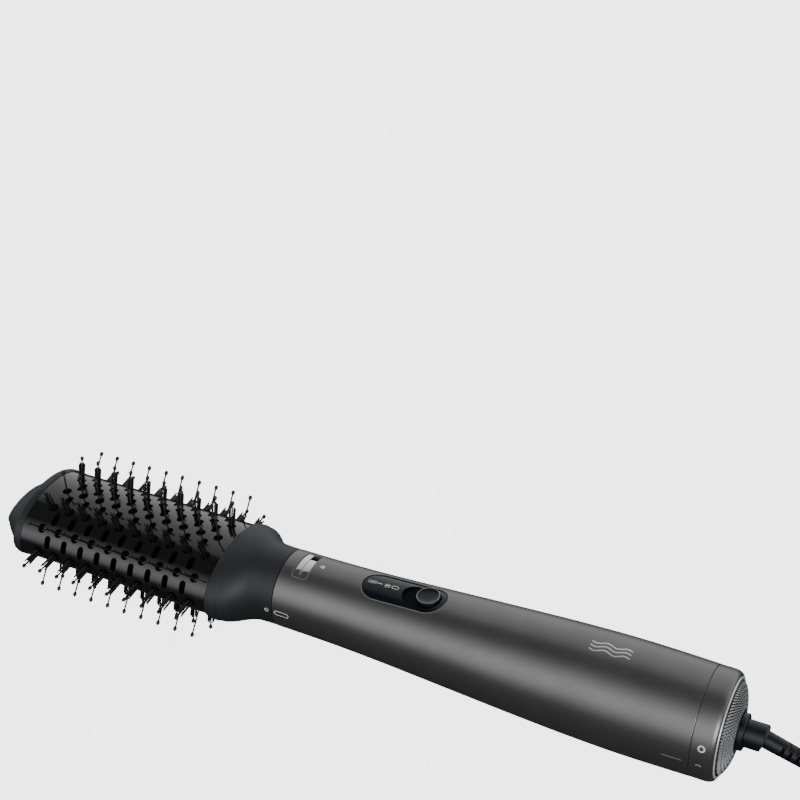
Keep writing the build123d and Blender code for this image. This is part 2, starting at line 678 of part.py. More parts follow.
def make_plug(neck_x, y, height):
    """Flat two-pin plug lying on its broad side, its neck towards the cord."""
    face_x = neck_x - 40.0
    with BuildPart() as plug:
        for x, wide, thick in ((neck_x - 9, 15, 12), (neck_x - 20, 32, 15), (face_x, 35.3, 15)):
            with BuildSketch(Plane(origin=(x, y, height), x_dir=(0, 1, 0), z_dir=(1, 0, 0))):
                RectangleRounded(wide, thick, 5.4)
        loft(ruled=True)
        with BuildSketch(Plane(origin=(neck_x - 10, y, height), x_dir=(0, 1, 0), z_dir=(1, 0, 0))):
            Circle(4.6)
        extrude(amount=10)
    add_piece("plug_body", plug.part)
    with BuildPart() as pins:
        pin_base = Plane(origin=(face_x, y, height), x_dir=(0, 1, 0), z_dir=(-1, 0, 0))
        with BuildSketch(pin_base):
            with GridLocations(PLUG_PIN_SPACING, 1, 2, 1):
                Circle(PLUG_PIN_RADIUS)
        extrude(amount=PLUG_PIN_LENGTH)
        chamfer(pins.faces().sort_by(Axis.X)[:2].edges(), 0.8)
    add_piece("plug_pins", pins.part)


# ---- the whole brush --------------------------------------------------------
def main():
    make_handle_shell()
    make_rear_frame()
    make_filter_cap()
    make_grille()
    relief_end = make_swivel()
    make_fan()
    make_switch()
    make_heater()
    make_outlet()
    make_catch()
    make_collar()
    make_barrel()
    make_strips()
    make_head_core()
    make_end_cap()

    # the brush lies on the pins nearest the collar and on the fat of the handle
    last_tuft = FIRST_TUFT + TUFT_PITCH * (TUFTS - 1)
    pin_depth = barrel_oval(last_tuft)[1] + PIN_HEIGHT
    handle_touch = (-27.0, 24.93)
    tilt = degrees(atan((pin_depth - handle_touch[1]) / (handle_touch[0] - last_tuft)))
    leaning = {name: Rot(Y=tilt) * part for name, part in pieces.items()}
    boxes = [part.bounding_box() for part in leaning.values()]
    middle = (min(box.min.X for box in boxes) + max(box.max.X for box in boxes)) / 2
    lowest = min(box.min.Z for box in boxes)
    lay_down = Location((-middle, 0, -lowest)) * Rot(Y=tilt)
    print("tilt", round(tilt, 4), "moved by", round(-middle, 4), round(-lowest, 4))
    for name in list(pieces):
        add_piece(name, lay_down * pieces[name])
    make_cord(Plane(lay_down * relief_end.location), -middle)

    os.makedirs("parts", exist_ok=True)
    for name, part in pieces.items():
        export_step(part, f"parts/{name}.step")


main()
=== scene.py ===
"""Looks of the hot air brush: smooth casings, punched barrel, bristles, printed marks,
materials, cord, light and camera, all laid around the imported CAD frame."""

import json
import math
import random

import bmesh
import bpy
import numpy as np
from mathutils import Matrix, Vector


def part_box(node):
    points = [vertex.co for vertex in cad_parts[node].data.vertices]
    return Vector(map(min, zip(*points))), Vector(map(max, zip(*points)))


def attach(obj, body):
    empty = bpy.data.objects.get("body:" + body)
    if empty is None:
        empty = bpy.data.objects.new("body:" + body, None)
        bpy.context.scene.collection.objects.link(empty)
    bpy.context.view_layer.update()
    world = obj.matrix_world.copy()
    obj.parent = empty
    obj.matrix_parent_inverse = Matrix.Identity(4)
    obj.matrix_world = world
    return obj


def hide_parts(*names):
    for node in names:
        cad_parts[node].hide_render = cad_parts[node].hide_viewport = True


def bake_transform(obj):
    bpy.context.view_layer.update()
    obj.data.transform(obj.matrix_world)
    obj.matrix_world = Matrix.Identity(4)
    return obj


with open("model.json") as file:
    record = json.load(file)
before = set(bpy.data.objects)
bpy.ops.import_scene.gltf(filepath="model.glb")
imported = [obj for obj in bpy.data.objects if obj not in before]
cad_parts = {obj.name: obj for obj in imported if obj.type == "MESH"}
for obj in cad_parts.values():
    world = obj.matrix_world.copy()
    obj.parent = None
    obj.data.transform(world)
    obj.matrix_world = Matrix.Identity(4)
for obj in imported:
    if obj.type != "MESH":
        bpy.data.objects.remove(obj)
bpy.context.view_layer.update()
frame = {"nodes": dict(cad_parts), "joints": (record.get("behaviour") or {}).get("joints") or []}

MM = 0.001
random.seed(7)

# ---- the handle's axis, from the fan's joint ---------------------------------
spin = next(j for j in frame["joints"] if j["name"] == "fan_spin")
AXIS = Vector(spin["axis"]).normalized()
RIM = Vector(spin["pos_m"]) + 0.045 * AXIS       # centre of the filter cap's rim
SIDE = Vector((0, 1, 0))
UP = AXIS.cross(SIDE).normalized()


def to_row(points):
    """Points given in mm on the handle's axis (x along it, y sideways, z up), in metres."""
    basis = np.array([AXIS, SIDE, UP])
    return np.asarray(points, float) @ basis * MM + np.array(RIM)


# ---- camera -----------------------------------------------------------------
def make_camera():
    data = bpy.data.cameras.new("camera")
    data.sensor_width = 36.0
    data.lens = 71.65
    data.clip_start = 0.01
    camera = bpy.data.objects.new("camera", data)
    camera.location = (0.26589, -0.47124, 0.52401)
    camera.rotation_euler = [math.radians(a) for a in (55.283, 3.043, 26.381)]
    bpy.context.scene.collection.objects.link(camera)
    bpy.context.scene.camera = camera


make_camera()


# ---- mesh helpers -----------------------------------------------------------
def new_object(name, vertices, faces, smooth=True):
    mesh = bpy.data.meshes.new(name)
    mesh.from_pydata([tuple(v) for v in vertices], [], [tuple(f) for f in faces])
    mesh.validate()
    piece = bpy.data.objects.new(name, mesh)
    bpy.context.scene.collection.objects.link(piece)
    mesh.polygons.foreach_set("use_smooth", [smooth] * len(mesh.polygons))
    return piece


def grid_faces(rows, columns, closed_rows, closed_columns):
    """Quads between the rows and columns of a grid of vertices, closed up where asked."""
    faces = []
    for i in range(rows if closed_rows else rows - 1):
        for j in range(columns if closed_columns else columns - 1):
            k, m = (i + 1) % rows, (j + 1) % columns
            faces.append((i * columns + j, i * columns + m, k * columns + m, k * columns + j))
    return faces


def outward(piece):
    """Faces turned to the outside of a closed mesh."""
    bm = bmesh.new()
    bm.from_mesh(piece.data)
    bmesh.ops.recalc_face_normals(bm, faces=bm.faces)
    bm.to_mesh(piece.data)
    bm.free()
    return piece


def soften(piece, angle=35.0):
    """Smooth shading with creases sharper than the angle kept."""
    piece.data.polygons.foreach_set("use_smooth", [True] * len(piece.data.polygons))
    piece.data.set_sharp_from_angle(angle=math.radians(angle))
    return piece


def turned(name, profile, segments=160, angle=35.0):
    """Closed body of revolution about the handle's axis from (x, radius) points in mm."""
    turns = np.linspace(0, 2 * np.pi, segments, endpoint=False)
    points = [(x, -r * math.sin(t), r * math.cos(t)) for x, r in profile for t in turns]
    piece = new_object(name, to_row(points), grid_faces(len(profile), segments, True, True))
    return soften(outward(piece), angle)


def curve_through(stations):
    """Smooth function through (x, value) stations: a natural cubic spline."""
    xs, ys = np.array(sorted(stations)).T
    n, h = len(xs), np.diff(xs)
    matrix, right = np.eye(n), np.zeros(n)
    for i in range(1, n - 1):
        matrix[i, i - 1:i + 2] = h[i - 1], 2 * (h[i - 1] + h[i]), h[i]
        right[i] = 6 * ((ys[i + 1] - ys[i]) / h[i] - (ys[i] - ys[i - 1]) / h[i - 1])
    bend = np.linalg.solve(matrix, right)

    def value(x):
        i = np.clip(np.searchsorted(xs, x) - 1, 0, n - 2)
        a, b = (xs[i + 1] - x) / h[i], (x - xs[i]) / h[i]
        return (a * ys[i] + b * ys[i + 1]
                + ((a ** 3 - a) * bend[i] + (b ** 3 - b) * bend[i + 1]) * h[i] ** 2 / 6)
    return value


def corner_arc(centre, radius, start, end, steps=6):
    """Points of a circular arc in the (x, radius) plane, angles in degrees."""
    return [(centre[0] + radius * math.cos(math.radians(a)), centre[1] + radius * math.sin(math.radians(a)))
            for a in np.linspace(start, end, steps)]


def cut(piece, cutters, operation="DIFFERENCE"):
    """Boolean with one cutter object, applied to the mesh."""
    modifier = piece.modifiers.new("cut", "BOOLEAN")
    modifier.operation = operation
    modifier.solver = "EXACT"
    modifier.object = cutters
    graph = bpy.context.evaluated_depsgraph_get()
    mesh = bpy.data.meshes.new_from_object(piece.evaluated_get(graph))
    piece.modifiers.clear()
    old = piece.data
    piece.data = mesh
    bpy.data.meshes.remove(old)
    bpy.data.objects.remove(cutters)
    return piece


def surface_normals(piece, normal_at, agree=0.85):
    """Shading normals of the true surface where a face follows it, flat faces elsewhere.
    normal_at takes row points and returns unit normals pointing outwards."""
    mesh = piece.data
    corners = np.empty(len(mesh.loops), int)
    mesh.loops.foreach_get("vertex_index", corners)
    points = np.empty(len(mesh.vertices) * 3)
    mesh.vertices.foreach_get("co", points)
    true = normal_at(points.reshape(-1, 3))[corners]
    normals = np.empty((len(mesh.loops), 3))
    for polygon in mesh.polygons:
        flat = np.array(polygon.normal)
        for loop in polygon.loop_indices:
            along = float(true[loop] @ flat)
            follows = abs(along) > agree
            normals[loop] = true[loop] * math.copysign(1, along) if follows else flat
    mesh.polygons.foreach_set("use_smooth", [True] * len(mesh.polygons))
    mesh.normals_split_custom_set([tuple(n) for n in normals])
    return piece


def prism(name, outline, plane_x, plane_y, origin, low, high):
    """Closed prism: an outline in mm on a plane at origin, from low to high along its normal."""
    plane_x, plane_y = np.array(plane_x, float), np.array(plane_y, float)
    normal = np.cross(plane_x, plane_y)
    base = np.array([origin + u * plane_x + v * plane_y for u, v in outline])
    n = len(base)
    points = np.concatenate([base + low * normal, base + high * normal])
    faces = [(i, (i + 1) % n, n + (i + 1) % n, n + i) for i in range(n)]
    faces += [tuple(range(n))[::-1], tuple(range(n, 2 * n))]
    return outward(new_object(name, to_row(points), faces, smooth=False))


def stadium(length, width, steps=24):
    """Outline with round ends, long side along the first axis."""
    half, radius = (length - width) / 2, width / 2
    right = [(half + radius * math.cos(a), radius * math.sin(a))
             for a in np.linspace(-math.pi / 2, math.pi / 2, steps)]
    left = [(-u, -v) for u, v in right]
    return right + left


def join(name, pieces):
    """One object from several, their meshes added up."""
    bm = bmesh.new()
    for piece in pieces:
        bm.from_mesh(piece.data)
    mesh = bpy.data.meshes.new(name)
    bm.to_mesh(mesh)
    bm.free()
    for piece in pieces:
        bpy.data.objects.remove(piece)
    whole = bpy.data.objects.new(name, mesh)
    bpy.context.scene.collection.objects.link(whole)
    return whole


# ---- materials --------------------------------------------------------------
def shader(name, color, roughness, metallic=0.0, coat=0.0, specular=0.5):
    material = bpy.data.materials.new(name)
    material.use_nodes = True
    tree = material.node_tree
    surface = tree.nodes["Principled BSDF"]
    surface.inputs["Base Color"].default_value = (*color, 1)
    surface.inputs["Roughness"].default_value = roughness
    surface.inputs["Metallic"].default_value = metallic
    surface.inputs["Coat Weight"].default_value = coat
    surface.inputs["Coat Roughness"].default_value = 0.06
    surface.inputs["Specular IOR Level"].default_value = specular
    return material, tree, surface


def grain(tree, scale, detail=3.0):
    """Noise that follows the object, features of about 1 / scale metres."""
    place = tree.nodes.new("ShaderNodeTexCoord")
    noise = tree.nodes.new("ShaderNodeTexNoise")
    noise.inputs["Scale"].default_value = scale
    noise.inputs["Detail"].default_value = detail
    tree.links.new(place.outputs["Object"], noise.inputs["Vector"])
    return noise.outputs["Fac"]


def ranged(tree, value, low, high, target):
    """Value from 0..1 drives target between low and high."""
    spread = tree.nodes.new("ShaderNodeMapRange")
    spread.inputs["From Min"].default_value = 0.3
    spread.inputs["From Max"].default_value = 0.7
    spread.inputs["To Min"].default_value = low
    spread.inputs["To Max"].default_value = high
    tree.links.new(value, spread.inputs["Value"])
    tree.links.new(spread.outputs["Result"], target)


def mottled(tree, surface, value, dark, light):
    """Colour that wanders between two close shades."""
    ramp = tree.nodes.new("ShaderNodeValToRGB")
    ramp.color_ramp.elements[0].position = 0.35
    ramp.color_ramp.elements[1].position = 0.65
    ramp.color_ramp.elements[0].color = (*dark, 1)
    ramp.color_ramp.elements[1].color = (*light, 1)
    tree.links.new(value, ramp.inputs["Fac"])
    tree.links.new(ramp.outputs["Color"], surface.inputs["Base Color"])


def bumped(tree, surface, value, strength, distance):
    """Fine relief in the shading."""
    bump = tree.nodes.new("ShaderNodeBump")
    bump.inputs["Strength"].default_value = strength
    bump.inputs["Distance"].default_value = distance
    tree.links.new(value, bump.inputs["Height"])
    tree.links.new(bump.outputs["Normal"], surface.inputs["Normal"])


def shades(color, spread):
    return tuple(c * (1 - spread) for c in color), tuple(c * (1 + spread) for c in color)


def finish(name, color, roughness, metallic=0.0, coat=0.0, specular=0.5, spread=0.12,
           patch=60.0, tooth=9000.0, depth=0.1):
    """A surface with slow colour and gloss variation and a fine tooth."""
    material, tree, surface = shader(name, color, roughness, metallic, coat, specular)
    slow = grain(tree, patch)
    mottled(tree, surface, slow, *shades(color, spread))
    fine = grain(tree, tooth, 2.0)
    ranged(tree, fine, roughness * 0.88, roughness * 1.12, surface.inputs["Roughness"])
    bumped(tree, surface, fine, depth, 0.00002)
    return material


materials = {
    "gunmetal": finish("gunmetal_lacquer", (0.188, 0.185, 0.185), 0.34, metallic=0.85, spread=0.04,
                       tooth=9000, depth=0.06),
    "charcoal": finish("soft_touch_charcoal", (0.016, 0.019, 0.022), 0.50, specular=0.5, spread=0.08,
                       tooth=6000, depth=0.12),
    "ceramic": finish("black_ceramic_coat", (0.008, 0.008, 0.009), 0.10, coat=0.3, specular=0.7,
                      spread=0.15, tooth=4000, depth=0.01),
    # partly painted reflection: the ribs' silvery shine is given partly as a light grey colour that diffuse
    # light brightens
    "rib": finish("rib_grey_painted_sheen", (0.50, 0.51, 0.54), 0.34, metallic=0.5, spread=0.06, depth=0.05),
    "nylon": finish("bristle_nylon", (0.006, 0.006, 0.007), 0.30, spread=0.25, patch=900,
                    tooth=3000, depth=0.03),
    "gloss": finish("piano_black", (0.006, 0.007, 0.012), 0.16, specular=0.35, spread=0.1, depth=0.01),
    "satin": finish("satin_black", (0.007, 0.008, 0.012), 0.28, coat=0.05, specular=0.3,
                    spread=0.12, depth=0.04),
    "chrome": finish("bright_chrome", (0.86, 0.86, 0.88), 0.06, metallic=1.0, spread=0.03, depth=0.01),
    "satin_chrome": finish("satin_chrome", (0.66, 0.66, 0.70), 0.20, metallic=1.0, spread=0.05, depth=0.05),
    # painted highlight: pale grey for the thin edges round the knob, the switch plate and the catch slot
    "edge_highlight": finish("pale_rim_painted_highlight", (0.22, 0.225, 0.23), 0.35, specular=0.6, spread=0.05, depth=0.05),
    "bright": finish("bright_ring_plating", (0.82, 0.83, 0.85), 0.28, metallic=0.45, spread=0.04, depth=0.05),
    "cord": finish("cord_black", (0.006, 0.007, 0.011), 0.36, specular=0.5, spread=0.15,
                   tooth=5000, depth=0.1),
    "inner": finish("inner_plastic", (0.008, 0.008, 0.009), 0.55, spread=0.2, depth=0.15),
    # painted shade: near-black for the shade inside the barrel's holes, the knob's track and the brush head
    "void": finish("painted_shade_black", (0.002, 0.002, 0.002), 0.8, specular=0.15, spread=0.3, depth=0.1),
    "steel": finish("plain_steel", (0.5, 0.5, 0.51), 0.28, metallic=1.0, spread=0.06, depth=0.1),
    "nickel": finish("nickel_pins", (0.66, 0.63, 0.58), 0.2, metallic=1.0, spread=0.05, depth=0.05),
    "board": finish("circuit_green", (0.02, 0.12, 0.05), 0.45, spread=0.25, patch=400),
    "mica": finish("mica_sheet", (0.5, 0.42, 0.28), 0.5, spread=0.25, patch=300),
    "wire": finish("resistance_wire", (0.42, 0.37, 0.33), 0.4, metallic=1.0, spread=0.15),
    "rubber": finish("black_rubber", (0.012, 0.012, 0.012), 0.7, spread=0.2),
    "white_nylon": finish("impeller_nylon", (0.7, 0.7, 0.66), 0.45, spread=0.05),
    "print": finish("pale_print", (0.80, 0.82, 0.84), 0.45, spread=0.04, patch=700),
    "silver": finish("silver_mark", (0.75, 0.75, 0.76), 0.25, metallic=1.0, spread=0.05,
                     patch=700, depth=0.05),
    "faint": finish("faint_print", (0.30, 0.31, 0.32), 0.45, spread=0.05, patch=700),
    "strap": finish("strap_weave", (0.015, 0.015, 0.017), 0.8, spread=0.3, patch=2500, depth=0.6),
}


def dress(piece, material, body, *nodes, slot=None):
    """Material, body and the CAD nodes it stands for, in one call; slot is not used."""
    piece.data.materials.clear()
    piece.data.materials.append(materials[material])
    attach(piece, body)
    if nodes:
        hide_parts(*nodes)
    return piece


# ---- cord, on the table -----------------------------------------------------
CORD_RADIUS = 0.0030
PITCH = 2 * CORD_RADIUS
RELIEF_START, RELIEF_LENGTH, RELIEF_SLOPE = 15.2, 38, math.radians(17.0)
COIL_TURNS, POINTS_PER_TURN, COIL_COLUMNS = 7.5, 16, 4
CLIMB = 0.6                  # part of a turn in which the cord climbs to the second layer


def spline_points(name, route):
    """Points along the smooth spline that has the route as its control points."""
    data = bpy.data.curves.new(name, "CURVE")
    data.dimensions = "3D"
    data.resolution_u = 14
    spline = data.splines.new("NURBS")
    spline.points.add(len(route) - 1)
    for point, place in zip(spline.points, route):
        point.co = (*place, 1)
    spline.order_u = 3
    spline.use_endpoint_u = True
    curve = bpy.data.objects.new(name, data)
    mesh = bpy.data.meshes.new_from_object(curve)
    points = [vertex.co.copy() for vertex in mesh.vertices]
    bpy.data.meshes.remove(mesh)
    bpy.data.objects.remove(curve)
    bpy.data.curves.remove(data)
    return points


def tube_along(name, line, radius, sides=14):
    """Closed round tube along a line of points, its rings turned as little as they can be."""
    vertices, across = [], Vector((0, 1, 0))
    for index, point in enumerate(line):
        heading = (line[min(index + 1, len(line) - 1)] - line[max(index - 1, 0)]).normalized()
        across = (across - heading * across.dot(heading)).normalized()
        other = heading.cross(across)
        for side in range(sides):
            turn = 2 * math.pi * side / sides
            vertices.append(point + (across * math.cos(turn) + other * math.sin(turn)) * radius)
    faces = grid_faces(len(line), sides, False, True)
    last = (len(line) - 1) * sides
    faces += [tuple(range(sides))[::-1], tuple(range(last, last + sides))]
    return soften(new_object(name, [tuple(v) for v in vertices], faces), 60)


def make_cord():
    """One spline: out of the strain relief, down, round the coil and off to the plug."""
    coil_low, coil_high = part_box("cord_coil")
    centre = (coil_low + coil_high) / 2
    outer = (coil_high.x - coil_low.x) / 2 - CORD_RADIUS
    bottom, top = coil_low.z + CORD_RADIUS, coil_high.z - CORD_RADIUS
    exit_point = Vector(to_row([(RELIEF_START + RELIEF_LENGTH * math.cos(RELIEF_SLOPE), 0,
                                 -RELIEF_LENGTH * math.sin(RELIEF_SLOPE))])[0])
    down = (AXIS * math.cos(RELIEF_SLOPE) - UP * math.sin(RELIEF_SLOPE)).normalized()
    landing = exit_point + down * ((exit_point.z - bottom) / -down.z)
    near_side, far_side = centre.y - outer, centre.y + outer
    route = [exit_point, landing, Vector((centre.x - 0.026, near_side, bottom))]
    # coil: the first layer winds inwards, the second back outwards on top of it
    inmost = COIL_COLUMNS - 1
    for step in range(int(COIL_TURNS * POINTS_PER_TURN) + 1):
        turn = step / POINTS_PER_TURN
        angle = -math.pi / 2 + 2 * math.pi * turn
        climb = min(max((turn - (COIL_COLUMNS - CLIMB)) / CLIMB, 0), 1)
        if turn <= COIL_COLUMNS - CLIMB:
            radius = outer - PITCH * min(turn, inmost)
        else:
            radius = outer - PITCH * inmost + PITCH * min(max(turn - COIL_COLUMNS, 0), inmost)
        route.append(Vector((centre.x + radius * math.cos(angle), centre.y + radius * math.sin(angle),
                             bottom + (top - bottom) * climb)))
    plug_low, plug_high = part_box("plug_body")
    plug = (plug_low + plug_high) / 2
    route += [Vector((centre.x - 0.017, far_side, top - 0.0004)),
              Vector((centre.x - 0.034, plug.y, plug.z)), Vector((plug_high.x, plug.y, plug.z))]
    line = spline_points("cord_route", route)
    cord = outward(tube_along("mains_cord", line, CORD_RADIUS))
    cord.data.materials.append(materials["cord"])
    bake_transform(cord)
    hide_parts("cord_lead", "cord_coil", "cord_tail")


make_cord()


# ---- handle -----------------------------------------------------------------
REAR_SEAM, FRONT_SEAM, WALL = -10.2, -211.2, 2.2
handle_radius = curve_through([
    (REAR_SEAM, 24.50), (-40, 25.00), (-90, 23.50), (-140, 20.80), (-180, 19.05), (FRONT_SEAM, 18.65)])


def handle_normal(points):
    """Outward normals of the handle's outline at row points."""
    local = (points - np.array(RIM)) / MM @ np.array([AXIS, SIDE, UP]).T
    slope = np.array([(handle_radius(x + 0.5) - handle_radius(x - 0.5))
                      for x in np.clip(local[:, 0], FRONT_SEAM + 0.5, REAR_SEAM - 0.5)])
    radial = local[:, 1:] / np.maximum(np.linalg.norm(local[:, 1:], axis=1), 1e-9)[:, None]
    normals = np.column_stack([-slope, radial])
    normals /= np.linalg.norm(normals, axis=1)[:, None]
    return normals @ np.array([AXIS, SIDE, UP])


def handle_skin(name, x_rear, x_front, lift, depth, edge=0.35, segments=256, step=1.5):
    """Shell on the handle's outline: lifted from it, depth thick, with eased edges."""
    xs = np.linspace(x_rear - edge, x_front + edge, max(int((x_rear - x_front) / step), 2))
    radii = [handle_radius(x) + lift for x in xs]
    outer = list(zip(xs, radii))
    rear = corner_arc((x_rear - edge, radii[0] - edge), edge, 0, 90, 5)[:-1]
    front = corner_arc((x_front + edge, radii[-1] - edge), edge, 90, 180, 5)[1:]
    inner = [(x, handle_radius(x) + lift - depth) for x in np.linspace(x_front, x_rear, 20)]
    return turned(name, rear + outer + front + inner, segments)


def slot_cutter(x_rear, x_front, half_angle, corner=1.4):
    """Block that cuts a slot part of the way round the handle, with rounded corners."""
    radius = handle_radius((x_rear + x_front) / 2)
    half_length, half_arc = (x_rear - x_front) / 2, math.radians(half_angle) * radius
    outline = []
    for sx, sy, start in ((1, 1, 0), (-1, 1, 90), (-1, -1, 180), (1, -1, 270)):
        centre = (sx * (half_length - corner), sy * (half_arc - corner))
        outline += corner_arc(centre, corner, start, start + 90, 7)
    # extra points on the long sides follow the handle round
    dense = []
    for (u0, v0), (u1, v1) in zip(outline, outline[1:] + outline[:1]):
        parts = max(int(math.hypot(u1 - u0, v1 - v0) / 1.0), 1)
        dense += [(u0 + (u1 - u0) * k / parts, v0 + (v1 - v0) * k / parts) for k in range(parts)]
    middle = (x_rear + x_front) / 2
    levels = (radius - 6, radius + 6)
    points = [(middle + u, -r * math.sin(v / radius), r * math.cos(v / radius))
              for r in levels for u, v in dense]
    n = len(dense)
    faces = [(i, (i + 1) % n, n + (i + 1) % n, n + i) for i in range(n)]
    cutter = new_object("slot_cutter", to_row(points), faces, smooth=False)
    bm = bmesh.new()
    bm.from_mesh(cutter.data)
    bm.verts.ensure_lookup_table()
    for level in range(2):
        ring = [bm.verts[level * n + i] for i in range(n)]
        bmesh.ops.contextual_create(bm, geom=ring + [e for e in bm.edges if all(v in ring for v in e.verts)])
    bmesh.ops.triangulate(bm, faces=[f for f in bm.faces if len(f.verts) > 4])
    bmesh.ops.recalc_face_normals(bm, faces=bm.faces)
    bm.to_mesh(cutter.data)
    bm.free()
    return cutter


PLATE_X, PLATE_LENGTH, PLATE_WIDTH = -151.3, 41.0, 16.6
LATCH_REAR, LATCH_FRONT, LATCH_ANGLE = -197.6, -205.1, 27.0
ALONG, ACROSS = (1, 0, 0), (0, 1, 0)


def make_handle():
    casing = handle_skin("handle_casing", REAR_SEAM, FRONT_SEAM, 0, WALL)
    window = prism("window", stadium(PLATE_LENGTH + 0.5, PLATE_WIDTH + 0.5), ALONG, ACROSS,
                   np.array((PLATE_X, 0, 0)), 10, 30)
    cut(casing, window)
    cut(casing, slot_cutter(LATCH_REAR, LATCH_FRONT, LATCH_ANGLE))
    groove = prism("groove", stadium(8.8, 0.55), ALONG, (0, 0, 1), np.array((-17.3, -24.72, -1.3)), -0.4, 2.0)
    cut(casing, groove)
    surface_normals(casing, handle_normal)
    dress(casing, "gunmetal", "handle", "handle_shell", slot="handle_metallic")


make_handle()


# ---- filter cap and grille --------------------------------------------------
CAP_ROUND = 4.0


def cap_radius(x):
    """Outline of the filter cap: straight side, then a quarter oval in to the bezel."""
    inwards = min(max((x + CAP_ROUND) / CAP_ROUND, 0), 1)
    return 22.3 + (handle_radius(REAR_SEAM) - 0.06 - 22.3) * math.sqrt(1 - inwards ** 2)


def make_filter_cap():
    front = [(-15.0, 20.6), (-15.0, 21.9), (REAR_SEAM + 0.12, 21.9)]
    edge = corner_arc((REAR_SEAM + 0.12 + 0.3, cap_radius(-9) - 0.3), 0.3, 180, 90, 5)
    side = [(x, cap_radius(x)) for x in np.linspace(-9.4, -CAP_ROUND, 5)]
    rounding = [(-CAP_ROUND + CAP_ROUND * math.sin(a), cap_radius(-CAP_ROUND + CAP_ROUND * math.sin(a)))
                for a in np.linspace(0.08, math.pi / 2 * 0.96, 18)]
    back = [(-0.1, 22.2), (-0.3, 21.2), (-2.6, 21.2), (-2.6, 20.6)]
    cap = turned("filter_cap_casing", front + edge + side + rounding + back, 256)
    dress(cap, "gunmetal", "filter_cap", "filter_cap", slot="handle_metallic")
    bezel = turned("bezel", [(-0.6, 21.1), (-0.6, 22.15), (0.05, 22.2), (0.3, 22.1), (0.5, 21.8),
                             (0.45, 21.4), (0.15, 21.1)], 256)
    dress(bezel, "bright", "filter_cap", "bezel_ring", slot="satin_chrome")


GRILLE_EDGE, GRILLE_EYE, GRILLE_BULGE = 21.1, 8.9, 4.7


def dome(radius, lift=0.0):
    """Place along the axis of the domed grille at a distance from it: steep rim, flat middle."""
    return GRILLE_BULGE * max(1 - (radius / GRILLE_EDGE) ** 3, 0) ** 0.667 + lift


def make_grille():
    """Dark dome with rings of short bright ribs, swept a little as they go outwards."""
    radii = np.linspace(GRILLE_EYE, GRILLE_EDGE, 28)
    profile = [(dome(r), r) for r in radii] + [(dome(r) - 1.0, r) for r in radii[::-1]]
    base = turned("grille_dome", profile, 200)
    dress(base, "inner", "filter_cap", "intake_grille", "grille_inner_ring", slot="dark_metal")
    store = ([], [])
    rings, pitch, rib_width, sweep = 6, 1.45, 0.62, math.radians(4)
    step = (GRILLE_EDGE - 0.5 - GRILLE_EYE - 0.7) / rings
    for ring in range(rings):
        inner = GRILLE_EYE + 0.7 + step * ring + 0.22
        outer = inner + step - 0.44
        count = int(2 * math.pi * (inner + outer) / 2 / pitch)
        for rib in range(count):
            turn = 2 * math.pi * (rib + 0.5 * (ring % 2)) / count
            low, high = [], []
            for part in range(5):
                r = inner + (outer - inner) * part / 4
                a = turn + sweep * (r - inner) / (outer - inner)
                half = rib_width / 2 / r
                for side in (-half, half):
                    place = (-r * math.sin(a + side), r * math.cos(a + side))
                    low.append((dome(r, -0.1), *place))
                    high.append((dome(r, 0.22), *place))
            faces = []
            for k in range(4):
                i = 2 * k
                faces += [(10 + i, 11 + i, 13 + i, 12 + i), (i, 10 + i, 12 + i, 2 + i),
                          (1 + i, 3 + i, 13 + i, 11 + i)]
            faces += [(0, 1, 11, 10), (8, 18, 19, 9)]
            faces += [(2 * k, 2 * k + 2, 2 * k + 3, 2 * k + 1) for k in range(4)]
            add_to(store, (low + high, faces))
    ribs = outward(new_object("grille_ribs", to_row(store[0]), store[1], smooth=False))
    dress(ribs, "rib", "filter_cap", slot="dark_metal")
    eye = turned("grille_eye", [(dome(GRILLE_EYE) - 1.9, 7.95), (dome(GRILLE_EYE) + 0.05, 7.95),
                                (dome(GRILLE_EYE) + 0.2, 8.3), (dome(GRILLE_EYE) + 0.1, 8.95),
                                (dome(GRILLE_EYE) - 1.9, 8.95)], 128)
    dress(eye, "satin_chrome", "filter_cap", slot="satin_chrome")


# ---- switch -----------------------------------------------------------------
SWITCH_X, KNOB_TRAVEL, TRACK_WIDTH, SLOPE = -139.4, 6.6, 12.2, math.radians(3.0)
KNOB_NORMAL = np.array((-math.sin(SLOPE), 0, math.cos(SLOPE)))
KNOB_ALONG = np.array((-math.cos(SLOPE), 0, -math.sin(SLOPE)))
KNOB_ORIGIN = np.array((SWITCH_X, 0, 20.83))
PLATE_DROP, RECESS = 0.35, 1.7


